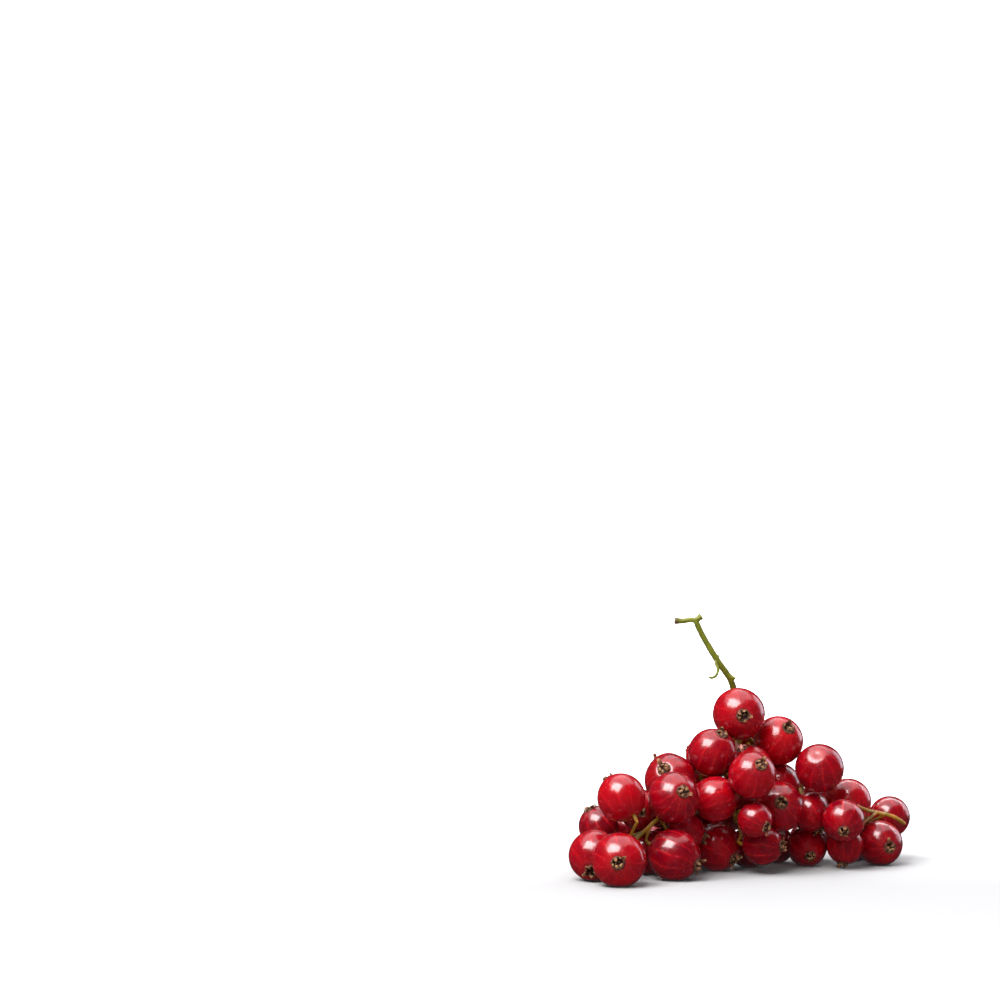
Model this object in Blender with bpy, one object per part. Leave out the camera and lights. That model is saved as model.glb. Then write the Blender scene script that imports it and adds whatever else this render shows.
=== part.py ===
"""A sprig of redcurrants lying in a heap on a table, as picked.

One branching stem carries every berry on a pedicel of its own. Each berry is a node, and the stem is one.
Frame: +X runs along the heap, +Y to its back, +Z up. The origin is on the table, under the middle of
the whole sprig's box. Lengths are in metres, except in the layout tables, which are in millimetres.
"""
import math

import bmesh
import bpy
import numpy as np
from mathutils import Vector

# Driving dimensions
HEAP_LENGTH = 0.0622        # between the centres of the berries at the two ends
HEAP_DEPTH = 0.0515         # between the centres of the front and the back berry
HEAP_HEIGHT = 0.0315        # table to the centre of the top berry
STALK_RISE = 0.0190         # from the centre of the top berry up to the stalk's crossbar
BERRY_DIAMETER = 0.0100     # a full berry; the table gives each berry's share of it
CALYX_DIAMETER = 0.0028     # dried flower remains at the berry's far end
CALYX_LENGTH = 0.0004       # how far they stand out of the skin
CONTACT_DEPTH = 0.00015     # how far a berry's skin flattens on the table
STALK_DIAMETER = 0.0011     # at the crossbar
FORK_DIAMETER = 0.0014      # where the stalk enters the heap
LIMB_DIAMETER = 0.0010      # at the start of each limb inside the heap
TWIG_DIAMETER = 0.0007      # at the end of each limb
PEDICEL_DIAMETER = 0.00056
BERRY_GAP = 0.0003          # between one berry and the next
STEM_GAP = 0.00035          # between a berry and the stem parts that pass it
PEDICEL_GAP = 0.0003        # between a pedicel's end and its berry

# How finely the shapes are made
BERRY_SEGMENTS = 12
BERRY_BANDS = 6
LIMB_SIDES = 8
PEDICEL_SIDES = 6
PEDICEL_NODES = 12          # points that bend while a pedicel finds its way
PEDICEL_SLACK = 0.0001      # extra room for the curve between those points
PEDICEL_LEAD = 0.0011       # straight start of a pedicel at its berry
ATTACHMENT_SPACING = 0.0010
LIMB_SPACING = 0.0018       # between the points of each drawn route
CROSSBAR_SPACING = 0.0008
HOOK_SPACING = 0.0007
KNOB_SPACING = 0.0004
PEDICEL_SPACING = 0.0014
CURVE_STEPS = 16            # between two points of a layout route

# How far things ease or give way in one round of settling
SETTLING_ROUNDS = 700
HOME_PULL = 0.04            # of a berry back to its place in the layout, at first
PEDICEL_EASING = 0.4        # of a bend in a pedicel, at first
EASING_HOLD = 1.5           # over 1, this easing keeps its strength for the first rounds
BERRY_GIVE = (0.3, 0.5, 0.3)
CALYX_GIVE = 0.3
STEM_GIVE = 0.3
PEDICEL_GIVE = 0.6
PEDICEL_PRESS = 0.02        # of a berry away from a pedicel
STEEPEST_DOWN = 0.4         # slope of a calyx that points away from the stem and down

# How the ends of the green parts swell, as shares of their width
CROSSBAR_WAIST = 0.88
CROSSBAR_FLARE = 0.35
PEDICEL_FLARE = 0.35
KNOB_SHARE = 0.9

# The layout that the tables below describe, in millimetres
LAYOUT_LENGTH = 62.2
LAYOUT_DEPTH = 51.5
LAYOUT_HEIGHT = 31.5
LAYOUT_RISE = 19.0
TABLE = 0.0                 # height given for a berry that rests on the table
AWAY = None                 # calyx direction of a berry that points away from the stem
KEPT = True                 # the calyx is still on the berry
LOST = False                # it has dropped off and left a small scar

# x, y, z, share of a full berry, calyx azimuth and elevation in degrees, calyx
BERRIES = (
    (0.5, 8.0, 31.5, 1.04, (-85, 0), KEPT),
    (9.0, 13.0, 25.7, 0.99, (-65, 35), KEPT),
    (-5.0, 4.0, 24.0, 0.96, (-50, 55), KEPT),
    (3.0, 7.5, 20.8, 0.85, (-150, 60), KEPT),
    (1.5, -3.0, 19.6, 0.93, (-70, 30), KEPT),
    (17.0, 9.0, 20.5, 0.97, (-105, 40), LOST),
    (-13.2, 2.5, 17.9, 1.02, (-110, 30), KEPT),
    (-13.5, -8.0, 16.0, 1.01, (-70, 20), KEPT),
    (-24.0, -12.0, 16.5, 0.93, (135, 45), KEPT),
    (-27.9, -1.0, 8.7, 0.79, (-165, 60), KEPT),
    (-29.2, -10.0, TABLE, 1.00, (-100, -30), KEPT),
    (-24.7, -19.5, TABLE, 1.04, (-95, 0), KEPT),
    (-13.5, -9.5, TABLE, 1.02, (-25, -20), KEPT),
    (-18.6, -2.0, 13.0, 0.79, (-90, 0), KEPT),
    (-22.5, 6.5, 8.0, 0.79, AWAY, KEPT),
    (-17.0, 0.5, TABLE, 0.88, AWAY, KEPT),
    (-5.0, 0.0, 15.0, 0.90, (-170, -25), KEPT),
    (-2.8, 5.0, TABLE, 1.01, (-40, -25), KEPT),
    (2.5, 12.5, TABLE, 0.82, AWAY, KEPT),
    (3.0, -3.5, 11.0, 0.68, (-50, -20), KEPT),
    (5.0, 1.5, 6.7, 0.80, (-25, 0), KEPT),
    (7.0, 6.2, 13.6, 1.00, (-90, 15), KEPT),
    (15.5, 12.0, 11.1, 0.79, (-30, -60), KEPT),
    (15.0, 15.0, TABLE, 0.80, AWAY, KEPT),
    (9.0, 21.0, TABLE, 0.78, AWAY, KEPT),
    (23.0, 16.5, 12.2, 0.92, AWAY, KEPT),
    (21.5, 6.0, 10.2, 0.83, (-95, -25), KEPT),
    (22.5, 12.0, 4.5, 0.74, (-120, -70), KEPT),
    (30.0, 17.0, TABLE, 0.92, (-70, -5), KEPT),
    (33.0, 24.5, 9.0, 0.83, (120, 10), KEPT),
    (27.0, 24.5, TABLE, 0.70, AWAY, KEPT),
    (11.0, 15.5, 16.5, 0.82, AWAY, KEPT),
    (18.0, 24.0, 12.5, 0.74, AWAY, KEPT),
    (-10.5, 2.5, 8.5, 0.78, AWAY, KEPT),
    (-14.0, 9.5, TABLE, 0.85, AWAY, KEPT),
    (-6.5, 13.5, TABLE, 0.80, AWAY, KEPT),
    (-6.0, 13.0, 13.0, 0.85, AWAY, KEPT),
    (1.0, 21.0, 12.0, 0.85, AWAY, KEPT),
    (2.5, 22.5, 19.5, 0.88, AWAY, KEPT),
    (10.0, 22.0, 12.0, 0.80, AWAY, KEPT),
    (16.5, 26.0, TABLE, 0.82, AWAY, KEPT),
    (-16.0, 8.5, 12.5, 0.80, AWAY, KEPT),
    (10.0, 24.5, 24.5, 0.84, AWAY, KEPT),
    (1.0, 21.0, 30.0, 0.86, AWAY, KEPT),
    (-5.5, 15.0, 22.5, 0.84, AWAY, KEPT),
    (-13.5, 13.5, 18.5, 0.82, AWAY, KEPT),
    (18.5, 26.0, 20.0, 0.78, AWAY, KEPT),
    (24.5, 30.0, 11.5, 0.78, AWAY, KEPT),
    (-28.0, 7.0, TABLE, 0.80, AWAY, KEPT),
    (-6.1, 21.5, 17.4, 0.80, AWAY, KEPT),
    (-15.5, 18.0, TABLE, 0.88, AWAY, KEPT),
    (31.0, 32.0, 6.5, 0.80, AWAY, KEPT),
    (2.5, 30.0, 25.0, 0.80, AWAY, KEPT),
)

# The stem's routes, as x, y, z points. Heights over the top berry follow STALK_RISE.
STALK = (
    (-8.0, 10.0, 50.3),
    (-7.2, 10.2, 48.4),
    (-6.4, 10.5, 46.9),
    (-5.4, 10.8, 45.2),
    (-4.5, 11.0, 43.7),
    (-3.8, 11.2, 42.6),
    (-2.5, 11.8, 40.7),
    (-1.0, 12.5, 38.7),
    (-0.2, 13.5, 36.7),
    (0.8, 14.8, 33.0),
    (1.5, 14.8, 28.5),
    (0.5, 13.0, 24.0),
)
CROSSBAR = (
    (-12.3, 10.0, 50.4),
    (-10.6, 10.0, 50.3),
    (-9.2, 10.0, 50.6),
    (-8.1, 10.0, 50.5),
    (-6.9, 10.0, 51.3),
)
HOOK = (
    (-3.9, 11.2, 42.7),
    (-3.9, 10.6, 41.6),
    (-3.5, 10.2, 40.5),
    (-3.8, 10.0, 39.4),
    (-4.5, 9.8, 38.8),
    (-5.4, 9.6, 38.9),
)
KNOBS = (
    ((-4.1, 11.2, 43.0), (-3.3, 10.8, 43.2)),
    ((-1.2, 12.4, 39.0), (0.1, 12.0, 38.5)),
    ((-12.1, 10.0, 50.4), (-11.7, 9.8, 49.8)),
)
LIMBS = (
    (
        (0.5, 13.0, 24.0),
        (-2.0, 10.5, 20.0),
        (-5.5, 8.5, 17.5),
        (-10.0, 6.0, 13.8),
        (-14.4, 1.0, 12.0),
        (-16.5, -4.5, 11.5),
        (-19.5, -7.0, 9.2),
        (-23.0, -10.0, 7.0),
    ),
    (
        (-7.5, 7.6, 16.0),
        (-9.0, 9.5, 11.5),
        (-9.8, 10.5, 8.0),
    ),
    (
        (0.5, 13.0, 24.0),
        (-1.0, 11.5, 17.5),
        (-0.4, 9.5, 13.0),
        (-0.2, 7.5, 9.8),
    ),
    (
        (0.8, 14.0, 25.0),
        (4.0, 14.5, 17.5),
        (5.5, 14.5, 12.0),
        (5.5, 14.5, 8.3),
    ),
    (
        (1.5, 14.8, 28.5),
        (6.5, 18.5, 22.0),
        (12.5, 20.5, 17.8),
        (19.0, 21.0, 16.3),
        (22.5, 22.0, 14.0),
        (25.5, 22.3, 11.8),
        (28.3, 19.5, 10.8),
        (31.0, 18.2, 10.4),
        (33.0, 18.2, 9.8),
        (34.6, 18.8, 8.9),
    ),
    (
        (14.5, 20.7, 17.2),
        (14.3, 19.8, 12.5),
        (14.5, 20.0, 8.5),
    ),
)


def layout_to_metres(points):
    """Stretch layout points to the driving dimensions; above the top berry heights follow the stalk's rise."""
    table = np.array(points, dtype=float)
    heap = np.minimum(table[:, 2], LAYOUT_HEIGHT)
    rise = table[:, 2] - heap
    table[:, 0] *= HEAP_LENGTH / LAYOUT_LENGTH
    table[:, 1] *= HEAP_DEPTH / LAYOUT_DEPTH
    table[:, 2] = heap * HEAP_HEIGHT / LAYOUT_HEIGHT + rise * STALK_RISE / LAYOUT_RISE
    return table


def smooth_route(points, spacing):
    """Even points, about a spacing apart, on the smooth curve through the given points."""
    points = np.asarray(points, dtype=float)
    ends = (2 * points[0] - points[1], 2 * points[-1] - points[-2])
    frame = np.vstack((ends[0], points, ends[1]))
    fine = []
    for before, start, end, after in zip(frame, frame[1:], frame[2:], frame[3:]):
        for t in np.linspace(0, 1, CURVE_STEPS, endpoint=False):
            fine.append(
                0.5 * (2 * start + (end - before) * t
                       + (2 * before - 5 * start + 4 * end - after) * t ** 2
                       + (3 * start - before - 3 * end + after) * t ** 3)
            )
    fine = np.array(fine + [points[-1]])
    travelled = np.concatenate(([0], np.cumsum(np.linalg.norm(np.diff(fine, axis=0), axis=1))))
    count = max(3, round(travelled[-1] / spacing) + 1)
    stations = np.linspace(0, travelled[-1], count)
    return np.column_stack([np.interp(stations, travelled, fine[:, axis]) for axis in range(3)])


def unit_vector(azimuth, elevation):
    """Direction with its azimuth from +X towards +Y and its elevation above the table, in degrees."""
    across, up = math.radians(azimuth), math.radians(elevation)
    return np.array((math.cos(across) * math.cos(up), math.sin(across) * math.cos(up), math.sin(up)))


class Bunch:
    """Where every berry, pedicel and limb lies once nothing touches anything else."""

    def __init__(self):
        self.read_stem()
        self.read_berries()
        self.attach_pedicels()
        for turn in range(SETTLING_ROUNDS):
            self.settle(1 - turn / SETTLING_ROUNDS)

    def read_stem(self):
        """Even points and radii of the stalk and the limbs, which stay where the layout puts them."""
        self.stalk = smooth_route(layout_to_metres(STALK), LIMB_SPACING)
        bare = self.stalk[:, 2] - HEAP_HEIGHT
        share = np.clip(bare / STALK_RISE, 0, 1)
        self.stalk_radii = (FORK_DIAMETER + (STALK_DIAMETER - FORK_DIAMETER) * share) / 2
        self.limbs = [smooth_route(layout_to_metres(limb), LIMB_SPACING) for limb in LIMBS]
        self.limb_radii = [np.linspace(LIMB_DIAMETER, TWIG_DIAMETER, len(limb)) / 2 for limb in self.limbs]
        self.stem = np.vstack([self.stalk] + self.limbs)
        self.stem_radii = np.concatenate([self.stalk_radii] + self.limb_radii)

    def read_berries(self):
        """Centres, radii and calyx directions from the table."""
        self.radii = np.array([row[3] for row in BERRIES]) * BERRY_DIAMETER / 2
        self.homes = layout_to_metres([row[:3] for row in BERRIES])
        self.centres = self.homes.copy()
        self.on_table = np.array([row[2] == TABLE for row in BERRIES])
        kept = np.array([row[5] for row in BERRIES])
        self.calyx_radii = np.where(kept, CALYX_DIAMETER / 2, 0)
        self.calyx_reach = np.where(kept, self.radii + CALYX_LENGTH - CALYX_DIAMETER / 4, 0)
        self.axes = np.array([self.calyx_direction(index) for index in range(len(BERRIES))])

    def calyx_direction(self, index):
        """The table's direction, or straight away from the nearest piece of stem and never into the table."""
        if BERRIES[index][4] is not AWAY:
            return unit_vector(*BERRIES[index][4])
        offsets = self.centres[index] - self.stem
        outward = offsets[np.argmin(np.linalg.norm(offsets, axis=1))].copy()
        outward[2] = max(outward[2], -STEEPEST_DOWN * np.linalg.norm(outward[:2]))
        return outward / np.linalg.norm(outward)

    def pedicel_start(self):
        """Where each pedicel meets its berry, opposite the calyx, and the end of its straight lead."""
        meets = self.centres - self.axes * (self.radii + PEDICEL_GAP)[:, None]
        return meets, meets - self.axes * PEDICEL_LEAD

    def attach_pedicels(self):
        """Give each pedicel the nearest free place on the stem, and a first easy curve to it."""
        meets, leads = self.pedicel_start()
        below_top = np.flatnonzero(self.stem[:, 2] < HEAP_HEIGHT + BERRY_DIAMETER / 4)
        taken = []
        self.pedicels = np.zeros((len(BERRIES), PEDICEL_NODES, 3))
        for index in range(len(BERRIES)):
            places = self.stem[below_top]
            cost = np.linalg.norm(places - leads[index], axis=1)
            for place in taken:
                crowding = np.linalg.norm(places - place, axis=1)
                cost += np.where(crowding < ATTACHMENT_SPACING, BERRY_DIAMETER, 0)
            root = places[np.argmin(cost)]
            taken.append(root)
            handle = leads[index] - self.axes[index] * PEDICEL_LEAD
            for node, t in enumerate(np.linspace(0, 1, PEDICEL_NODES)):
                ends = (1 - t) ** 2 * meets[index] + t ** 2 * root
                self.pedicels[index, node] = ends + 2 * t * (1 - t) * handle

    def settle(self, ease):
        """One round: shorten the pedicels, then push apart whatever is too close."""
        bends = self.pedicels[:, 2:-1]
        middle = (self.pedicels[:, 1:-2] + self.pedicels[:, 3:]) / 2
        bends += PEDICEL_EASING * min(1, EASING_HOLD * ease) * (middle - bends)
        self.centres += HOME_PULL * ease * (self.homes - self.centres)
        self.push_berries_apart()
        self.push_calyxes_off_berries()
        self.push_berries_off_stem()
        self.push_pedicels_off_berries()
        self.keep_above_table()
        self.pedicels[:, 0], self.pedicels[:, 1] = self.pedicel_start()

    def push_berries_apart(self):
        """Berries give way to each other, more readily in depth than across or up."""
        offsets = self.centres[:, None] - self.centres[None]
        reach = self.radii[:, None] + self.radii[None] + BERRY_GAP
        shift = overlap_push(offsets, reach)
        self.centres += shift.sum(axis=1) * np.array(BERRY_GIVE)

    def calyx_centres(self):
        """The middle of the round space that each calyx takes up."""
        return self.centres + self.axes * self.calyx_reach[:, None]

    def push_calyxes_off_berries(self):
        """A calyx keeps its berry off the next berry and off the next calyx."""
        calyxes = self.calyx_centres()
        offsets = calyxes[:, None] - self.centres[None]
        shift = overlap_push(offsets, self.calyx_radii[:, None] + self.radii[None] + BERRY_GAP)
        shift[np.diag_indices(len(BERRIES))] = 0
        self.centres += (shift.sum(axis=1) - shift.sum(axis=0)) * CALYX_GIVE
        offsets = calyxes[:, None] - calyxes[None]
        shift = overlap_push(offsets, self.calyx_radii[:, None] + self.calyx_radii[None] + BERRY_GAP)
        self.centres += shift.sum(axis=1) * CALYX_GIVE

    def push_berries_off_stem(self):
        """Berries and their calyxes give way to the stalk and the limbs."""
        for middles, radii in ((self.centres, self.radii), (self.calyx_centres(), self.calyx_radii)):
            offsets = middles[:, None] - self.stem[None]
            reach = radii[:, None] + self.stem_radii[None] + STEM_GAP
            shift = overlap_push(offsets, reach)
            self.centres += shift.sum(axis=1) * STEM_GIVE

    def push_pedicels_off_berries(self):
        """A pedicel bends round the berries in its way, and presses them aside a little."""
        nodes = self.pedicels[:, 1:-1].reshape(-1, 3)
        owner = np.repeat(np.arange(len(BERRIES)), PEDICEL_NODES - 2)
        clear = PEDICEL_DIAMETER / 2 + STEM_GAP + PEDICEL_SLACK
        for middles, radii in ((self.centres, self.radii), (self.calyx_centres(), self.calyx_radii)):
            offsets = nodes[:, None] - middles[None]
            shift = overlap_push(offsets, radii[None] + clear)
            bent = shift.sum(axis=1) * PEDICEL_GIVE
            self.pedicels[:, 1:-1] += bent.reshape(len(BERRIES), -1, 3)
            shift[np.arange(len(nodes)), owner] = 0
            self.centres -= shift.sum(axis=0) * PEDICEL_PRESS

    def keep_above_table(self):
        """Resting berries press on the table, and everything else stays above it."""
        resting = self.radii - CONTACT_DEPTH
        free = self.radii + BERRY_GAP
        heights = self.centres[:, 2]
        self.centres[:, 2] = np.where(self.on_table, resting, np.maximum(heights, free))
        lowest = PEDICEL_DIAMETER / 2 + STEM_GAP
        self.pedicels[:, :, 2] = np.maximum(self.pedicels[:, :, 2], lowest)


def overlap_push(offsets, reach):
    """For each pair, the vector along its offset that would just bring it out of reach."""
    distance = np.linalg.norm(offsets, axis=2)
    overlap = np.where(distance > 1e-9, np.maximum(reach - distance, 0), 0)
    return offsets * (overlap / np.maximum(distance, 1e-9))[:, :, None]


def material(name, colour, roughness):
    """A plain Principled material."""
    made = bpy.data.materials.new(name)
    made.use_nodes = True
    shader = made.node_tree.nodes["Principled BSDF"]
    shader.inputs["Base Color"].default_value = (*colour, 1)
    shader.inputs["Roughness"].default_value = roughness
    shader.inputs["Metallic"].default_value = 0
    return made


def berry_material():
    return material("redcurrant_skin", (0.42, 0.004, 0.012), 0.22)


def stem_material():
    return material("green_stem", (0.19, 0.20, 0.02), 0.55)


def add_object(name, mesh, finish):
    """A new object whose round faces are shaded smooth."""
    mesh.shade_smooth()
    mesh.set_sharp_from_angle(angle=math.radians(45))
    mesh.materials.append(finish)
    made = bpy.data.objects.new(name, mesh)
    bpy.context.scene.collection.objects.link(made)
    return made


def mesh_from(work, name):
    """Turn the bmesh into a mesh with its faces pointing out."""
    bmesh.ops.recalc_face_normals(work, faces=work.faces)
    mesh = bpy.data.meshes.new(name)
    work.to_mesh(mesh)
    work.free()
    return mesh


def add_ring(work, centre, side, up, radius, sides):
    """A ring of vertices round a centre, in the plane of two unit vectors."""
    ring = []
    for step in range(sides):
        angle = 2 * math.pi * step / sides
        offset = side * math.cos(angle) + up * math.sin(angle)
        ring.append(work.verts.new(centre + offset * radius))
    return ring


def bridge(work, first, second):
    """Faces between two rings with as many vertices each."""
    for step in range(len(first)):
        after = (step + 1) % len(first)
        work.faces.new((first[step], first[after], second[after], second[step]))


def berry_profile(radius, calyx_kept):
    """Radius and height pairs of the turned berry, from its pedicel end to its calyx."""
    rim = CALYX_DIAMETER / 2
    if calyx_kept:
        tip = radius + CALYX_LENGTH
        reach = math.hypot(rim, tip)
        last = math.atan2(tip, rim) - math.acos(radius / reach)
    else:
        last = math.acos(rim / 2 / radius)
    angles = np.linspace(-math.pi / 2, last, BERRY_BANDS + 2)[1:]
    outline = [(radius * math.cos(angle), radius * math.sin(angle)) for angle in angles]
    if calyx_kept:
        outline.append((rim, tip))
    return outline


def berry_mesh(name, radius, axis, calyx_kept, on_table):
    """A round berry about its own centre, drawn out to its calyx and flattened where it rests."""
    work = bmesh.new()
    side, up = Vector((1, 0, 0)), Vector((0, 1, 0))
    pole = work.verts.new((0, 0, -radius))
    rings = []
    for width, height in berry_profile(radius, calyx_kept):
        rings.append(add_ring(work, Vector((0, 0, height)), side, up, width, BERRY_SEGMENTS))
    for step in range(BERRY_SEGMENTS):
        work.faces.new((pole, rings[0][step], rings[0][(step + 1) % BERRY_SEGMENTS]))
    for first, second in zip(rings, rings[1:]):
        bridge(work, first, second)
    work.faces.new(rings[-1])
    turn = Vector(axis).to_track_quat("Z", "Y").to_matrix()
    bmesh.ops.transform(work, matrix=turn.to_4x4(), verts=work.verts)
    if on_table:
        flatten_below(work, CONTACT_DEPTH - radius)
    return mesh_from(work, name)


def flatten_below(work, level):
    """Cut the shape off flat at a level and close the cut."""
    everything = work.verts[:] + work.edges[:] + work.faces[:]
    cut = bmesh.ops.bisect_plane(
        work, geom=everything, plane_co=(0, 0, level), plane_no=(0, 0, -1), clear_outer=True
    )
    edges = [item for item in cut["geom_cut"] if isinstance(item, bmesh.types.BMEdge)]
    bmesh.ops.contextual_create(work, geom=edges)


def tube_mesh(name, route, radii, sides):
    """A closed tube along a route, with its own radius at each point and flat ends."""
    work = bmesh.new()
    route = [Vector(point) for point in route]
    headings = [(after - before).normalized() for before, after in zip(route, route[1:])]
    headings = [headings[0]] + [(a + b).normalized() for a, b in zip(headings, headings[1:])] + [headings[-1]]
    side = headings[0].orthogonal().normalized()
    rings = []
    for point, heading, radius in zip(route, headings, radii):
        side = (side - heading * side.dot(heading)).normalized()
        rings.append(add_ring(work, point, side, heading.cross(side), radius, sides))
    for first, second in zip(rings, rings[1:]):
        bridge(work, first, second)
    work.faces.new(rings[0])
    work.faces.new(rings[-1])
    return mesh_from(work, name)


def add_berries(bunch):
    """One object for each berry."""
    skin = berry_material()
    berries = []
    for index, row in enumerate(BERRIES):
        name = f"berry_{index + 1:02d}"
        mesh = berry_mesh(name, bunch.radii[index], bunch.axes[index], row[5], bunch.on_table[index])
        berry = add_object(name, mesh, skin)
        berry.location = bunch.centres[index]
        berries.append(berry)
    return berries


def branch_routes(bunch):
    """Route, radii and number of sides of everything that grows out of the stalk."""
    branches = []
    for limb, radii in zip(bunch.limbs, bunch.limb_radii):
        branches.append((limb, radii, LIMB_SIDES))
    crossbar = smooth_route(layout_to_metres(CROSSBAR), CROSSBAR_SPACING)
    width = CROSSBAR_WAIST + CROSSBAR_FLARE * np.abs(np.linspace(-1, 1, len(crossbar))) ** 3
    branches.append((crossbar, width * STALK_DIAMETER / 2, LIMB_SIDES))
    hook = smooth_route(layout_to_metres(HOOK), HOOK_SPACING)
    branches.append((hook, np.full(len(hook), PEDICEL_DIAMETER / 2), PEDICEL_SIDES))
    for knob in KNOBS:
        route = smooth_route(layout_to_metres(knob), KNOB_SPACING)
        radii = np.linspace(STALK_DIAMETER, PEDICEL_DIAMETER, len(route)) / 2 * KNOB_SHARE
        branches.append((route, radii, PEDICEL_SIDES))
    for nodes in bunch.pedicels:
        route = smooth_route(nodes, PEDICEL_SPACING)
        width = 1 + PEDICEL_FLARE * np.abs(np.linspace(-1, 1, len(route))) ** 6
        branches.append((route, width * PEDICEL_DIAMETER / 2, PEDICEL_SIDES))
    return branches


def add_stem(bunch):
    """The stalk, with every branch joined to it."""
    green = stem_material()
    stem = add_object("stem", tube_mesh("stem", bunch.stalk, bunch.stalk_radii, LIMB_SIDES), green)
    branches = bpy.data.collections.new("branches")
    bpy.context.scene.collection.children.link(branches)
    parts = [stem]
    for number, (route, radii, sides) in enumerate(branch_routes(bunch)):
        helper = bpy.data.objects.new(f"branch_{number:02d}", tube_mesh("branch", route, radii, sides))
        helper.hide_render = True
        helper.display_type = "WIRE"
        branches.objects.link(helper)
        parts.append(helper)
    join = stem.modifiers.new("join_branches", "BOOLEAN")
    join.operation = "UNION"
    join.operand_type = "COLLECTION"
    join.collection = branches
    join.solver = "EXACT"
    return parts


def stand_on_origin(objects):
    """Move everything so that the box's middle is over the origin and its base is at height 0."""
    corners = np.array([
        np.array(vertex.co) + np.array(item.location)
        for item in objects
        for vertex in item.data.vertices
    ])
    low, high = corners.min(axis=0), corners.max(axis=0)
    offset = Vector(((low[0] + high[0]) / 2, (low[1] + high[1]) / 2, 0))
    for item in objects:
        item.location -= offset


def clear_scene():
    for item in list(bpy.data.objects):
        bpy.data.objects.remove(item, do_unlink=True)


def main():
    clear_scene()
    bunch = Bunch()
    stand_on_origin(add_berries(bunch) + add_stem(bunch))


main()
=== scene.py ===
"""The looks of a sprig of redcurrants lying in a heap, built round its CAD frame.

Each CAD berry gives its centre, radius and axis, and a fine skin and a dried calyx are grown on them. The CAD
stem is remeshed into one grown piece whose pedicels reach the berries. All of it rides on the one body.
"""
import math

import bmesh
import bpy
import numpy as np
from mathutils import Matrix, Vector, noise


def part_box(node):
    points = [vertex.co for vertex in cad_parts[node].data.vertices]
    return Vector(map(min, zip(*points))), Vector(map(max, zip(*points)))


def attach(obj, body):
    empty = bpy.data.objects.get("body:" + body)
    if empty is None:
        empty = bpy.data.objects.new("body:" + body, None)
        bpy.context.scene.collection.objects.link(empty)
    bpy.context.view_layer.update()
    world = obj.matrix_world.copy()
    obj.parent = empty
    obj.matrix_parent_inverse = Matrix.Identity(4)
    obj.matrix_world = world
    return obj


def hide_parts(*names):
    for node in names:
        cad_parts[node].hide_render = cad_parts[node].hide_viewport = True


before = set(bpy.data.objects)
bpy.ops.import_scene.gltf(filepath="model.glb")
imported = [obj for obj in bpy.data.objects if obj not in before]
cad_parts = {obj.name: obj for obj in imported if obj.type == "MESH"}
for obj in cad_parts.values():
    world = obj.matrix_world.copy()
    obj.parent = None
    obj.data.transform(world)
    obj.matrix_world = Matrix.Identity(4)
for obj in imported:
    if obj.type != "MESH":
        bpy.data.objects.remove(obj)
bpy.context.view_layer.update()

BODY = "root"
BERRY_NODES = sorted(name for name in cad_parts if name.startswith("berry_"))
STEM_NODE = "stem"
MM = 0.001

# The berries
SKIN_GROWTH = 0.12 * MM         # how far the soft skin swells into the gap that the CAD solids keep
SEGMENTS = 96
BANDS = 60
SCAR = "scar"
CALYX = "calyx"

# The dried calyx, as lengths on a berry 10 mm across
COLLAR_RADIUS = 1.26 * MM
SEPALS = 5
FRESH_CALYX = "berry_04"        # its sepals are still pale pink

# The stem, remeshed in millimetres
VOXEL = 0.13
TIP_SIDES = 12


def berry_facts(name):
    """Centre, radius, axis towards the calyx and what is at that end, read from the CAD berry."""
    points = np.unique(
        np.round([tuple(vertex.co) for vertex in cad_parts[name].data.vertices], 7), axis=0
    )
    kept = np.ones(len(points), bool)
    for _ in range(12):
        rows = np.column_stack([2 * points[kept], np.ones(kept.sum())])
        solution = np.linalg.lstsq(rows, (points[kept] ** 2).sum(axis=1), rcond=None)[0]
        centre = solution[:3]
        radius = math.sqrt(solution[3] + centre @ centre)
        error = np.abs(np.linalg.norm(points - centre, axis=1) - radius)
        kept = error <= np.quantile(error, 0.75) + 1e-9
    reach = np.linalg.norm(points - centre, axis=1)
    proud = points[reach > radius + 0.15 * MM]
    end = CALYX
    if len(proud) < 4:
        end = SCAR
        gaps = np.linalg.norm(points[:, None] - points[None], axis=2)
        crowd = (gaps < 1.5 * MM).sum(axis=1)
        proud = points[crowd >= crowd.max() - 1]
    axis = Vector(proud.mean(axis=0) - centre).normalized()
    return {"centre": Vector(centre), "radius": radius, "axis": axis, "end": end}


BERRIES = {name: berry_facts(name) for name in BERRY_NODES}
for place, (name, facts) in enumerate(BERRIES.items()):
    facts["seed"] = place + 1
    facts["chance"] = np.random.default_rng(1000 + place)


# Material helpers

def new_material(name):
    made = bpy.data.materials.new(name)
    made.use_nodes = True
    tree = made.node_tree
    return made, tree, tree.nodes["Principled BSDF"]


def node(tree, kind, **settings):
    made = tree.nodes.new(kind)
    for key, value in settings.items():
        setattr(made, key, value)
    return made


def object_coordinates(tree):
    return node(tree, "ShaderNodeTexCoord").outputs["Object"]


def noise_texture(tree, scale, detail=3.0, roughness=0.55, distortion=0.0, seed=None):
    """Noise on the object's own coordinates, in features per metre, offset by a seed."""
    made = node(tree, "ShaderNodeTexNoise", noise_dimensions="4D")
    tree.links.new(object_coordinates(tree), made.inputs["Vector"])
    made.inputs["Scale"].default_value = scale
    made.inputs["Detail"].default_value = detail
    made.inputs["Roughness"].default_value = roughness
    made.inputs["Distortion"].default_value = distortion
    if seed is not None:
        tree.links.new(seed, made.inputs["W"])
    return made.outputs["Fac"]


def attribute(tree, name):
    return node(tree, "ShaderNodeAttribute", attribute_name=name).outputs["Fac"]


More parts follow.
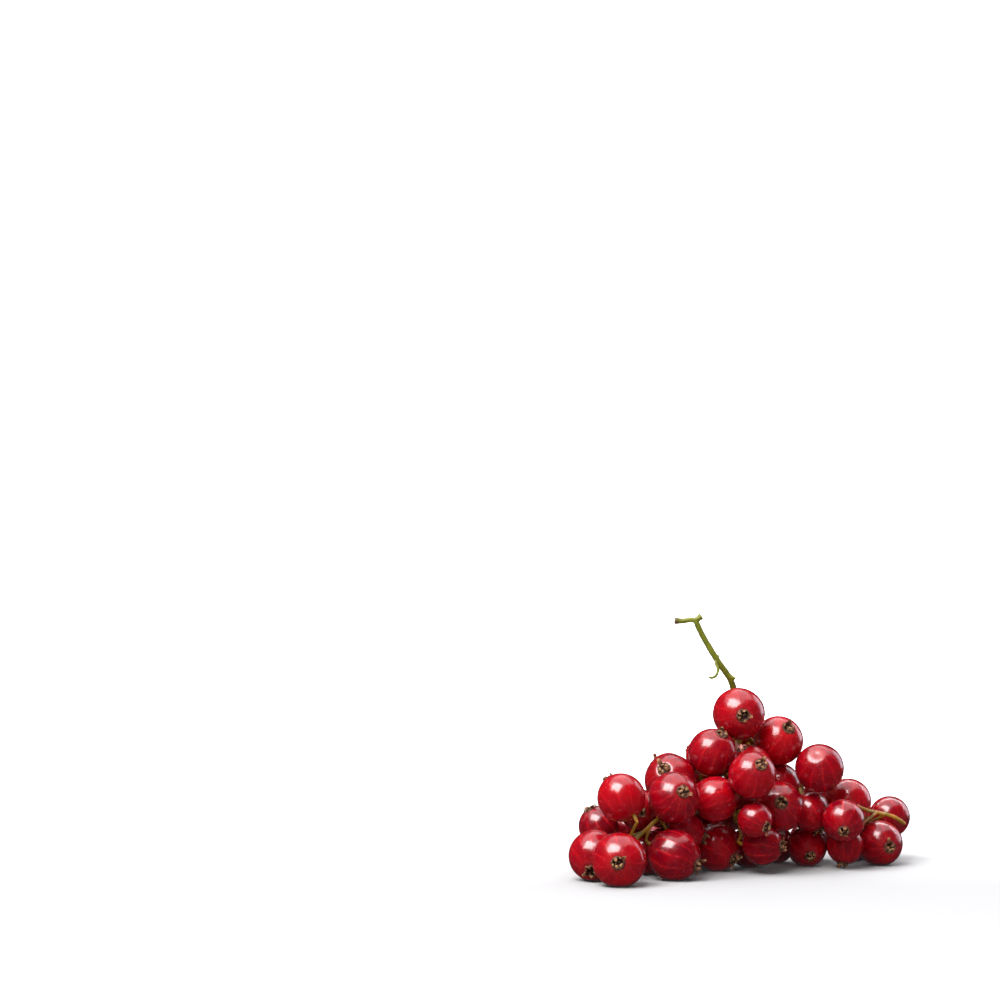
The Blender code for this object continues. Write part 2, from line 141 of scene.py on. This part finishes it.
def ramp(tree, value, *stops):
    """A colour ramp; each stop is a place and a grey or a colour."""
    made = node(tree, "ShaderNodeValToRGB")
    tree.links.new(value, made.inputs["Fac"])
    elements = made.color_ramp.elements
    while len(elements) < len(stops):
        elements.new(0.5)
    for element, (place, colour) in zip(elements, stops):
        element.position = place
        element.color = (*colour, 1) if isinstance(colour, tuple) else (colour, colour, colour, 1)
    return made.outputs["Color"]


def blend(tree, share, first, second, mode="MIX"):
    """Mix two colours; each is a socket or a colour."""
    made = node(tree, "ShaderNodeMix", data_type="RGBA", blend_type=mode)
    sockets = (made.inputs[0], made.inputs[6], made.inputs[7])
    for socket, value in zip(sockets, (share, first, second)):
        if isinstance(value, bpy.types.NodeSocket):
            tree.links.new(value, socket)
        elif isinstance(value, tuple):
            socket.default_value = (*value, 1)
        else:
            socket.default_value = value
    return made.outputs[2]


def sums(tree, operation, first, second):
    made = node(tree, "ShaderNodeMath", operation=operation)
    for socket, value in zip(made.inputs, (first, second)):
        if isinstance(value, bpy.types.NodeSocket):
            tree.links.new(value, socket)
        else:
            socket.default_value = value
    return made.outputs[0]


def bumps(tree, height, distance, strength=1.0):
    made = node(tree, "ShaderNodeBump")
    made.inputs["Distance"].default_value = distance
    made.inputs["Strength"].default_value = strength
    tree.links.new(height, made.inputs["Height"])
    return made.outputs["Normal"]


def skin_material():
    """Glossy see-through red skin with veins from end to end, mottling, bloom and specks of dust, and a deeper red
    painted as shade on berries lower in the heap.
    """
    made, tree, shader = new_material("redcurrant_skin")
    link = tree.links.new
    seed = attribute(tree, "seed")
    ripeness_and_low_shade = attribute(tree, "ripeness_and_low_shade")
    veins = attribute(tree, "veins")
    hollow = attribute(tree, "hollow")

    # A deeper red for riper berries, and painted shade: a deeper red for berries lower in the heap.
    flesh = blend(tree, ripeness_and_low_shade, (0.30, 0.000, 0.004), (0.075, 0.000, 0.004))
    mottle = noise_texture(tree, 420, detail=4, seed=seed)
    patches = ramp(tree, mottle, (0.40, 0.0), (0.72, 1.0))
    flesh = blend(tree, sums(tree, "MULTIPLY", patches, 0.30), flesh, (0.32, 0.000, 0.002))
    streaks = sums(tree, "MULTIPLY", veins, noise_texture(tree, 300, detail=2, seed=seed))
    flesh = blend(tree, sums(tree, "MULTIPLY", streaks, 1.1), flesh, (0.50, 0.010, 0.016))
    bloom = ramp(tree, noise_texture(tree, 900, detail=6, roughness=0.7, seed=seed), (0.48, 0.0), (0.80, 1.0))
    flesh = blend(tree, sums(tree, "MULTIPLY", bloom, 0.06), flesh, (0.34, 0.05, 0.08))
    flesh = blend(tree, sums(tree, "MULTIPLY", hollow, 0.30), flesh, (0.42, 0.05, 0.04))

    specks = node(tree, "ShaderNodeTexVoronoi", voronoi_dimensions="4D")
    specks.inputs["Scale"].default_value = 900
    specks.inputs["Randomness"].default_value = 1
    link(object_coordinates(tree), specks.inputs["Vector"])
    link(seed, specks.inputs["W"])
    dots = ramp(tree, specks.outputs["Distance"], (0.035, 1.0), (0.085, 0.0))
    rare = ramp(tree, noise_texture(tree, 700, detail=1, seed=seed), (0.55, 0.0), (0.60, 1.0))
    dots = sums(tree, "MULTIPLY", dots, rare)
    flesh = blend(tree, sums(tree, "MULTIPLY", dots, 0.30), flesh, (0.62, 0.30, 0.26))
    link(flesh, shader.inputs["Base Color"])

    rough = sums(tree, "MULTIPLY", bloom, 0.14)
    rough = sums(tree, "ADD", rough, sums(tree, "MULTIPLY", hollow, 0.20))
    rough = sums(tree, "ADD", rough, sums(tree, "MULTIPLY", dots, 0.30))
    rough = sums(tree, "ADD", rough, 0.22)
    link(rough, shader.inputs["Roughness"])

    pores = noise_texture(tree, 2600, detail=3, roughness=0.6, seed=seed)
    relief = sums(tree, "ADD", sums(tree, "MULTIPLY", pores, 0.35), sums(tree, "MULTIPLY", veins, 0.55))
    relief = sums(tree, "ADD", relief, sums(tree, "MULTIPLY", dots, 1.2))
    link(bumps(tree, relief, 0.035 * MM), shader.inputs["Normal"])

    shader.inputs["Subsurface Weight"].default_value = 0.60
    shader.inputs["Subsurface Radius"].default_value = (1.0, 0.08, 0.05)
    shader.inputs["Subsurface Scale"].default_value = 2.2 * MM
    shader.inputs["IOR"].default_value = 1.42
    shader.inputs["Specular IOR Level"].default_value = 0.55
    shader.inputs["Coat Weight"].default_value = 0.38
    shader.inputs["Coat Roughness"].default_value = 0.10
    shader.inputs["Coat IOR"].default_value = 1.45
    return made


def calyx_material():
    """Dead, crumpled flower parts: tan at the edges, dark brown deep inside."""
    made, tree, shader = new_material("dry_calyx")
    link = tree.links.new
    seed = attribute(tree, "seed")
    depth = attribute(tree, "depth")
    grain = noise_texture(tree, 2600, detail=5, roughness=0.65, distortion=0.6, seed=seed)
    tone = sums(tree, "ADD", depth, sums(tree, "MULTIPLY", sums(tree, "SUBTRACT", grain, 0.5), 0.75))
    colour = ramp(
        tree, tone,
        (0.05, (0.36, 0.22, 0.10)),
        (0.32, (0.17, 0.075, 0.028)),
        (0.55, (0.065, 0.022, 0.010)),
        (0.90, (0.018, 0.006, 0.004)),
    )
    blotches = ramp(tree, noise_texture(tree, 1100, detail=2, seed=seed), (0.54, 0.0), (0.68, 1.0))
    colour = blend(tree, sums(tree, "MULTIPLY", blotches, 0.30), colour, (0.30, 0.020, 0.012))
    pink = sums(tree, "MULTIPLY", attribute(tree, "fresh"), ramp(tree, tone, (0.25, 0.85), (0.60, 0.0)))
    colour = blend(tree, pink, colour, (0.78, 0.30, 0.26))
    link(colour, shader.inputs["Base Color"])
    fibres = noise_texture(tree, 5200, detail=4, roughness=0.7, seed=seed)
    link(bumps(tree, fibres, 0.05 * MM), shader.inputs["Normal"])
    rough = sums(tree, "ADD", sums(tree, "MULTIPLY", grain, 0.30), 0.50)
    link(rough, shader.inputs["Roughness"])
    shader.inputs["Subsurface Weight"].default_value = 0.12
    shader.inputs["Subsurface Radius"].default_value = (1.0, 0.5, 0.25)
    shader.inputs["Subsurface Scale"].default_value = 0.3 * MM
    shader.inputs["Specular IOR Level"].default_value = 0.35
    return made


def stem_material():
    """Olive green stalk that turns ochre lower down among the berries, brown where it has aged, with ridges and a
    brown cut end.
    """
    made, tree, shader = new_material("green_stem")
    link = tree.links.new
    age = attribute(tree, "age")
    low_in_heap = attribute(tree, "inside")
    cloud = noise_texture(tree, 520, detail=4, roughness=0.6)
    green = blend(tree, ramp(tree, cloud, (0.35, 0.0), (0.68, 1.0)), (0.075, 0.085, 0.003), (0.150, 0.158, 0.006))
    ochre = blend(tree, ramp(tree, cloud, (0.40, 0.0), (0.62, 1.0)), (0.30, 0.125, 0.007), (0.17, 0.105, 0.006))
    # The stalk turns ochre lower down, among the berries.
    colour = blend(tree, low_in_heap, green, ochre)
    flecks = ramp(tree, noise_texture(tree, 2400, detail=3, roughness=0.7), (0.58, 0.0), (0.70, 1.0))
    colour = blend(tree, sums(tree, "MULTIPLY", flecks, 0.40), colour, (0.13, 0.085, 0.018))
    mix = sums(tree, "ADD", age, sums(tree, "MULTIPLY", sums(tree, "SUBTRACT", cloud, 0.5), 0.5))
    colour = blend(tree, ramp(tree, mix, (0.30, 0.0), (0.72, 1.0)), colour, (0.085, 0.042, 0.022))
    link(colour, shader.inputs["Base Color"])
    ridges = noise_texture(tree, 3600, detail=4, roughness=0.6, distortion=0.3)
    link(bumps(tree, ridges, 0.06 * MM), shader.inputs["Normal"])
    rough = sums(tree, "ADD", sums(tree, "MULTIPLY", flecks, 0.20), 0.44)
    link(rough, shader.inputs["Roughness"])
    shader.inputs["Subsurface Weight"].default_value = 0.20
    shader.inputs["Subsurface Radius"].default_value = (0.7, 1.0, 0.2)
    shader.inputs["Subsurface Scale"].default_value = 0.4 * MM
    shader.inputs["Specular IOR Level"].default_value = 0.45
    return made


# Mesh helpers

def mesh_object(name, points, faces, attributes, material, place=(0, 0, 0)):
    """A smooth shaded object with points about its own place, and a value per point for each attribute."""
    mesh = bpy.data.meshes.new(name)
    mesh.from_pydata([tuple(point) for point in points], [], faces)
    for key, values in attributes.items():
        layer = mesh.attributes.new(key, "FLOAT", "POINT")
        layer.data.foreach_set("value", np.asarray(values, np.float32))
    mesh.materials.append(material)
    mesh.shade_smooth()
    made = bpy.data.objects.new(name, mesh)
    bpy.context.scene.collection.objects.link(made)
    made.location = place
    return made


def turned(facts):
    """Rotation of the berry whose own +Z runs to its calyx, turned by a chance angle about it."""
    turn = facts["axis"].to_track_quat("Z", "Y").to_matrix()
    return np.array(turn @ Matrix.Rotation(facts["chance"].uniform(0, 2 * math.pi), 3, "Z"))


def rest_on_table(points, facts, soft):
    """Turn a berry's own points to its pose, and flatten softly what would go through the table."""
    turned_points = np.asarray(points) @ facts["turn"].T
    height = turned_points[:, 2] + facts["centre"].z
    turned_points[:, 2] = (height + np.hypot(height, soft)) / 2 - facts["centre"].z
    return turned_points


def skin_points(facts):
    """Points of the skin round the berry's axis, with the values that its material reads."""
    chance = facts["chance"]
    radius = facts["radius"] + SKIN_GROWTH
    theta = np.linspace(0, math.pi, BANDS + 1)[1:-1]
    theta = theta - 0.16 * np.sin(2 * theta)
    azimuth = np.linspace(0, 2 * math.pi, SEGMENTS, endpoint=False)
    theta, azimuth = [grid.ravel() for grid in np.meshgrid(theta, azimuth, indexing="ij")]
    theta = np.concatenate(([0], theta, [math.pi]))
    azimuth = np.concatenate(([0], azimuth, [0]))
    directions = np.column_stack(
        (np.sin(theta) * np.cos(azimuth), np.sin(theta) * np.sin(azimuth), np.cos(theta))
    )
    reach = np.ones(len(theta))
    for waves in (2, 3):
        size, start = chance.uniform(0.002, 0.006), chance.uniform(0, 2 * math.pi)
        reach += size * np.sin(theta) ** 2 * np.cos(waves * azimuth + start)
    offset = Vector(chance.uniform(-50, 50, 3))
    lumps = np.array([noise.noise(Vector(point) * 1.6 + offset) for point in directions])
    reach += 0.010 * lumps
    from_top, from_base = theta, math.pi - theta
    if facts["end"] == CALYX:
        reach -= 0.17 * np.exp(-(from_top / 0.20) ** 4)
    else:
        reach -= 0.050 * np.exp(-(from_top / 0.20) ** 2)
    reach += 0.010 * np.exp(-((from_top - 0.42) / 0.12) ** 2)
    reach -= 0.040 * np.exp(-(from_base / 0.15) ** 2)
    points = directions * (radius * np.minimum(reach, 1.012))[:, None]

    count = 11 + facts["seed"] % 3
    wander = 0.5 * np.sin(2 * theta + chance.uniform(0, 6)) + 0.25 * np.sin(5 * theta + chance.uniform(0, 6))
    strand = np.abs(np.sin((azimuth + 0.16 * wander) * count / 2))
    veins = np.exp(-(strand / 0.16) ** 2) * np.sin(theta) ** 0.5
    # Painted shade: berries lower in the heap are made a deeper red, as if shaded by those above; the random share
    # is the berry's own ripeness.
    depth = 0.45 - facts["centre"].z / (36 * MM)
    ripeness_and_low_shade = np.clip(chance.uniform(0.15, 0.70) + 0.55 * depth + 0.30 * lumps, 0, 1)
    hollow = 0.6 * np.exp(-(from_top / 0.34) ** 2) + 0.7 * np.exp(-(from_base / 0.20) ** 2)
    if facts["end"] == SCAR:
        hollow += 0.6 * np.exp(-((from_top - 0.24) / 0.09) ** 2)
    values = {
        "veins": veins,
        "ripeness_and_low_shade": ripeness_and_low_shade,
        "hollow": np.clip(hollow, 0, 1),
        "seed": np.full(len(theta), facts["seed"] * 3.7),
    }
    return points, values


def round_faces(bands, segments):
    """Faces of a body of rings between two poles; point 0 is the first pole and the last is the other."""
    faces = []
    last = bands * segments + 1
    for step in range(segments):
        after = (step + 1) % segments
        faces.append((0, 1 + step, 1 + after))
        faces.append((last, last - segments + after, last - segments + step))
        for band in range(bands - 1):
            ring = 1 + band * segments
            faces.append((ring + step, ring + segments + step, ring + segments + after, ring + after))
    return faces


def add_skins(material):
    faces = round_faces(BANDS - 1, SEGMENTS)
    for name, facts in BERRIES.items():
        facts["turn"] = turned(facts)
        points, values = skin_points(facts)
        points = rest_on_table(points, facts, 0.15 * MM)
        skin = mesh_object(name + "_skin", points, faces, values, material, facts["centre"])
        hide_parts(name)
        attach(skin, BODY)


def sheet_faces(rows, columns, start, closed=False):
    """Faces of a grid of points whose rows have so many columns; closed joins each row's ends."""
    faces = []
    for row in range(rows - 1):
        for column in range(columns if closed else columns - 1):
            after = (column + 1) % columns
            faces.append((
                start + row * columns + column,
                start + row * columns + after,
                start + (row + 1) * columns + after,
                start + (row + 1) * columns + column,
            ))
    return faces


def sepal_points(facts, azimuth, scale, foot):
    """A dried sepal: a small blade that leaves the collar, curls over and crumples."""
    chance = facts["chance"]
    rows, columns = 11, 9
    length = chance.uniform(0.85, 1.60) * MM * scale
    width = chance.uniform(0.34, 0.60) * MM * scale
    lean = chance.uniform(-0.35, 0.55)
    curl = chance.choice((-1, -1, -1, 1)) * chance.uniform(0.9, 2.3)
    twist = chance.uniform(-0.5, 0.5)
    cup = chance.uniform(0.15, 0.5)
    offset = Vector(chance.uniform(-50, 50, 3))
    outward = np.array((math.cos(azimuth), math.sin(azimuth), 0))
    across = np.array((-math.sin(azimuth), math.cos(azimuth), 0))
    points, depth = [], []
    place = outward * COLLAR_RADIUS * scale * 0.94 + np.array((0, 0, foot))
    for row in range(rows):
        along = row / (rows - 1)
        angle = lean + curl * along ** 1.3
        heading = math.cos(angle) * np.array((0, 0, 1)) + math.sin(angle) * outward
        facing = -math.sin(angle) * np.array((0, 0, 1)) + math.cos(angle) * outward
        if row:
            place = place + heading * length / (rows - 1)
        taper = (1 - 0.15 * along) * math.sqrt(max(1 - along ** 3, 0.02))
        turn = twist * along
        side = math.cos(turn) * across + math.sin(turn) * facing
        for column in range(columns):
            t = 2 * column / (columns - 1) - 1
            point = place + side * t * width * taper - facing * cup * t * t * width * (0.4 + along)
            crumple = noise.noise_vector(Vector(point) * 1900 + offset) * (0.05 + 0.16 * along) * MM * scale
            points.append(point + np.array(crumple))
            depth.append(0.62 - 0.50 * along + 0.10 * abs(t))
    return points, depth, sheet_faces(rows, columns, 0)


def collar_points(facts, scale, foot):
    """The dried cup that the sepals stand on: a ragged lip, an inner wall and a dark floor."""
    chance = facts["chance"]
    columns = 40
    profile = (
        (1.24, -0.30, 0.60), (1.30, -0.08, 0.46), (1.25, 0.06, 0.28), (1.15, 0.11, 0.14), (1.05, 0.02, 0.45),
        (0.96, -0.14, 0.75), (0.78, -0.40, 0.92), (0.50, -0.58, 1.0), (0.20, -0.66, 1.0), (0.03, -0.68, 1.0),
    )
    waves = chance.uniform(0, 2 * math.pi, 4)
    points, depth = [], []
    for width, height, deep in profile:
        for column in range(columns):
            azimuth = 2 * math.pi * column / columns
            ragged = 0.06 * math.sin(3 * azimuth + waves[3]) + 0.08 * math.sin(5 * azimuth + waves[0])
            ragged += 0.06 * math.sin(8 * azimuth + waves[1]) + 0.05 * math.sin(13 * azimuth + waves[2])
            reach = (width + 0.8 * min(ragged, 0.06) * (width > 0.3)) * MM * scale
            lift = (height + ragged * 1.8 * (1 - deep)) * MM * scale
            points.append((reach * math.cos(azimuth), reach * math.sin(azimuth), foot + lift))
            depth.append(deep + 0.22 + 1.6 * ragged)
    return points, depth, sheet_faces(len(profile), columns, 0, closed=True)


def thread_points(facts, scale, foot):
    """A dried stamen or style: a thin bent thread with a small knob."""
    chance = facts["chance"]
    rows, columns = 9, 6
    azimuth = chance.uniform(0, 2 * math.pi)
    spread = chance.uniform(0.05, 0.55) * MM * scale
    place = np.array((math.cos(azimuth) * spread, math.sin(azimuth) * spread, foot - 0.60 * MM * scale))
    heading = np.array((chance.uniform(-0.5, 0.5), chance.uniform(-0.5, 0.5), 1.0))
    bend = np.array((chance.uniform(-0.4, 0.4), chance.uniform(-0.4, 0.4), -0.12))
    length = chance.uniform(0.7, 1.35) * MM * scale
    points, depth = [], []
    for row in range(rows):
        along = row / (rows - 1)
        course = Vector(heading + bend * along * 1.5).normalized()
        if row:
            place = place + np.array(course) * length / (rows - 1)
        side = course.orthogonal().normalized()
        up = course.cross(side)
        thick = (0.055 + 0.06 * math.exp(-((along - 0.92) / 0.10) ** 2)) * MM * scale
        thick *= 1 if row < rows - 1 else 0.3
        for column in range(columns):
            angle = 2 * math.pi * column / columns
            offset = side * math.cos(angle) + up * math.sin(angle)
            points.append(place + np.array(offset) * thick)
            depth.append(0.62 - 0.45 * along)
    return points, depth, sheet_faces(rows, columns, 0, closed=True)


def solid_sheet(points, faces, thickness):
    """Give a sheet a thickness, so that its mesh has two sides and an edge."""
    work = bmesh.new()
    corners = [work.verts.new(point) for point in points]
    for face in faces:
        work.faces.new([corners[index] for index in face])
    bmesh.ops.recalc_face_normals(work, faces=work.faces)
    bmesh.ops.solidify(work, geom=work.faces[:], thickness=thickness)
    work.verts.index_update()
    made = [tuple(vertex.co) for vertex in work.verts]
    made_faces = [tuple(vertex.index for vertex in face.verts) for face in work.faces]
    work.free()
    return made, made_faces


def add_calyx(name, facts, material):
    """Collar, five sepals and a few threads, joined into one piece on the berry's end."""
    scale = (facts["radius"] / (5 * MM)) ** 0.6
    foot = (facts["radius"] + SKIN_GROWTH) * 0.975 + 0.02 * MM
    shapes = [(*collar_points(facts, scale, foot), 0.05)]
    start = facts["chance"].uniform(0, 2 * math.pi)
    for number in range(SEPALS):
        azimuth = start + 2 * math.pi * (number + facts["chance"].uniform(-0.15, 0.15)) / SEPALS
        shapes.append((*sepal_points(facts, azimuth, scale, foot), 0.045))
    for _ in range(5):
        shapes.append((*thread_points(facts, scale, foot), 0.0))
    points, depth, faces = [], [], []
    for shape, deep, patch, thickness in shapes:
        if thickness:
            solid, patch = solid_sheet(shape, patch, -thickness * MM * scale)
            deep = list(deep) * 2
            shape = solid
        deep = (list(deep) + [0.6] * len(shape))[:len(shape)]
        faces += [tuple(index + len(points) for index in face) for face in patch]
        points += [tuple(point) for point in shape]
        depth += deep
    points = rest_on_table(points, facts, 0.02 * MM)
    fresh = 1.0 if name == FRESH_CALYX else 0.0
    values = {
        "depth": depth,
        "seed": np.full(len(points), facts["seed"] * 5.3),
        "fresh": np.full(len(points), fresh),
    }
    calyx = mesh_object(name.replace("berry", "calyx"), points, faces, values, material, facts["centre"])
    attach(calyx, BODY)


def add_calyxes(material):
    for name, facts in BERRIES.items():
        if facts["end"] == CALYX:
            add_calyx(name, facts, material)


def pedicel_tips(work):
    """Closed cones, in millimetres, that carry each pedicel on to its berry."""
    for facts in BERRIES.values():
        radius = (facts["radius"] + SKIN_GROWTH) / MM
        profile = ((radius + 0.75, 0.24), (radius + 0.35, 0.27), (radius + 0.05, 0.36), (radius - 0.45, 0.42))
        centre, axis = facts["centre"] / MM, facts["axis"]
        side = axis.orthogonal().normalized()
        up = axis.cross(side)
        rings = []
        for reach, thick in profile:
            ring = []
            for step in range(TIP_SIDES):
                angle = 2 * math.pi * step / TIP_SIDES
                ring.append(work.verts.new(
                    centre - axis * reach + (side * math.cos(angle) + up * math.sin(angle)) * thick
                ))
            rings.append(ring)
        for first, second in zip(rings, rings[1:]):
            for step in range(TIP_SIDES):
                after = (step + 1) % TIP_SIDES
                work.faces.new((first[step], first[after], second[after], second[step]))
        work.faces.new(rings[0][::-1])
        work.faces.new(rings[-1])


def add_stem(material):
    """The CAD stem and the pedicels' tips, remeshed into one grown piece."""
    work = bmesh.new()
    work.from_mesh(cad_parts[STEM_NODE].data)
    bmesh.ops.remove_doubles(work, verts=work.verts, dist=1e-6)
    bmesh.ops.scale(work, vec=(1 / MM,) * 3, verts=work.verts)
    pedicel_tips(work)
    bmesh.ops.recalc_face_normals(work, faces=work.faces)
    mesh = bpy.data.meshes.new("stem_grown")
    work.to_mesh(mesh)
    work.free()
    grown = bpy.data.objects.new("stem_grown", mesh)
    bpy.context.scene.collection.objects.link(grown)
    remesh = grown.modifiers.new("remesh", "REMESH")
    remesh.mode = "VOXEL"
    remesh.voxel_size = VOXEL
    smooth = grown.modifiers.new("smooth", "SMOOTH")
    smooth.factor = 0.5
    smooth.iterations = 4
    bpy.context.view_layer.update()
    evaluated = grown.evaluated_get(bpy.context.evaluated_depsgraph_get())
    baked = bpy.data.meshes.new_from_object(evaluated)
    grown.modifiers.clear()
    grown.data = baked
    grown.data.name = "stem_grown"

    count = len(baked.vertices)
    places = np.zeros(count * 3)
    normals = np.zeros(count * 3)
    baked.vertices.foreach_get("co", places)
    baked.vertex_normals.foreach_get("vector", normals)
    places, normals = places.reshape(-1, 3), normals.reshape(-1, 3)
    swell = np.array([
        noise.noise(Vector(point) * 1.3) * 0.045 + noise.noise(Vector(point) * 4.0) * 0.022 for point in places
    ])
    places += normals * (0.065 + swell)[:, None]
    places[:, 2] = np.maximum(places[:, 2], 0.03)
    baked.vertices.foreach_set("co", (places * MM).ravel())

    low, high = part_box(STEM_NODE)
    top_berry = max(facts["centre"].z + facts["radius"] for facts in BERRIES.values()) / MM
    bare = places[:, 2] > top_berry
    cut = places[bare][np.argmin(places[bare][:, 0])]
    knob = places[bare][np.argmax(places[bare][:, 2])]
    age = np.exp(-(np.linalg.norm(places - cut, axis=1) / 1.3) ** 2)
    age += 0.35 * np.exp(-(np.linalg.norm(places - knob, axis=1) / 0.5) ** 2)
    inside = np.clip((top_berry - 1 - places[:, 2]) / 6, 0, 1)
    for key, values in (("age", np.clip(age, 0, 1)), ("inside", inside)):
        layer = baked.attributes.new(key, "FLOAT", "POINT")
        layer.data.foreach_set("value", values.astype(np.float32))
    baked.materials.clear()
    baked.materials.append(material)
    baked.shade_smooth()
    baked.update()
    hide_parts(STEM_NODE)
    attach(grown, BODY)


# The set round the object

def add_floor():
    """A pale floor that curves up into a backdrop far behind."""
    made, tree, shader = new_material("pale_floor")
    cloud = noise_texture(tree, 6, detail=3)
    tree.links.new(blend(tree, cloud, (0.330, 0.331, 0.331), (0.350, 0.350, 0.350)), shader.inputs["Base Color"])
    shader.inputs["Roughness"].default_value = 0.75
    shader.inputs["Specular IOR Level"].default_value = 0.2
    half, bend, rise = 2.5, 0.5, 2.0
    profile = [(-half, 0.0), (1.2, 0.0)]
    for step in range(1, 17):
        angle = math.pi / 2 * step / 16
        profile.append((1.2 + bend * math.sin(angle), bend - bend * math.cos(angle)))
    profile.append((1.2 + bend, rise))
    points, faces = [], []
    for depth, height in profile:
        points += [(-half, depth, height), (half, depth, height)]
    for row in range(len(profile) - 1):
        faces.append((2 * row, 2 * row + 1, 2 * row + 3, 2 * row + 2))
    floor = mesh_object("floor", points, faces, {}, made)
    floor.visible_glossy = False


def add_light(name, place, target, size, power, colour=(1, 1, 1)):
    light = bpy.data.lights.new(name, "AREA")
    light.shape = "RECTANGLE"
    light.size, light.size_y = size
    light.energy = power
    light.color = colour
    made = bpy.data.objects.new(name, light)
    bpy.context.scene.collection.objects.link(made)
    made.location = place
    made.rotation_euler = (Vector(target) - Vector(place)).to_track_quat("-Z", "Y").to_euler()
    made.visible_camera = False
    return made


def add_lights():
    """A key at the upper left, a wide soft box above, a fill that glosses don't show, a rim, and the backdrop's."""
    world = bpy.data.worlds.new("studio")
    bpy.context.scene.world = world
    world.use_nodes = True
    sky = world.node_tree.nodes["Background"]
    sky.inputs["Color"].default_value = (0.93, 0.92, 1.0, 1)
    sky.inputs["Strength"].default_value = 0.05
    heap = (0, 0, 0.02)
    add_light("key", (-0.30, -0.34, 0.58), heap, (0.56, 0.42), 12.0)
    add_light("overhead", (-0.05, 0.05, 0.75), heap, (1.3, 1.0), 9.0, (0.97, 0.95, 1.0))
    fill = add_light("fill", (0.15, -0.80, 0.16), heap, (1.0, 0.5), 4.0)
    fill.visible_glossy = False
    add_light("rim", (0.50, 0.34, 0.24), heap, (0.30, 0.50), 1.5, (0.86, 0.88, 1.0))
    add_light("backdrop", (0, 0.55, 0.75), (0, 1.4, 0.1), (3.2, 1.2), 230.0)


def add_camera():
    """Level with the heap's top third and a little to its left, looking straight along +Y."""
    camera = bpy.data.cameras.new("camera")
    camera.lens = 115
    camera.sensor_width = 36
    camera.clip_start = 0.01
    camera.clip_end = 20
    made = bpy.data.objects.new("camera", camera)
    bpy.context.scene.collection.objects.link(made)
    made.location = (-0.0493, -0.6447, 0.0749)
    made.rotation_euler = (math.pi / 2, 0, 0)
    bpy.context.scene.camera = made


add_skins(skin_material())
add_calyxes(calyx_material())
add_stem(stem_material())
add_floor()
add_lights()
add_camera()
bpy.context.scene.view_settings.view_transform = "Standard"
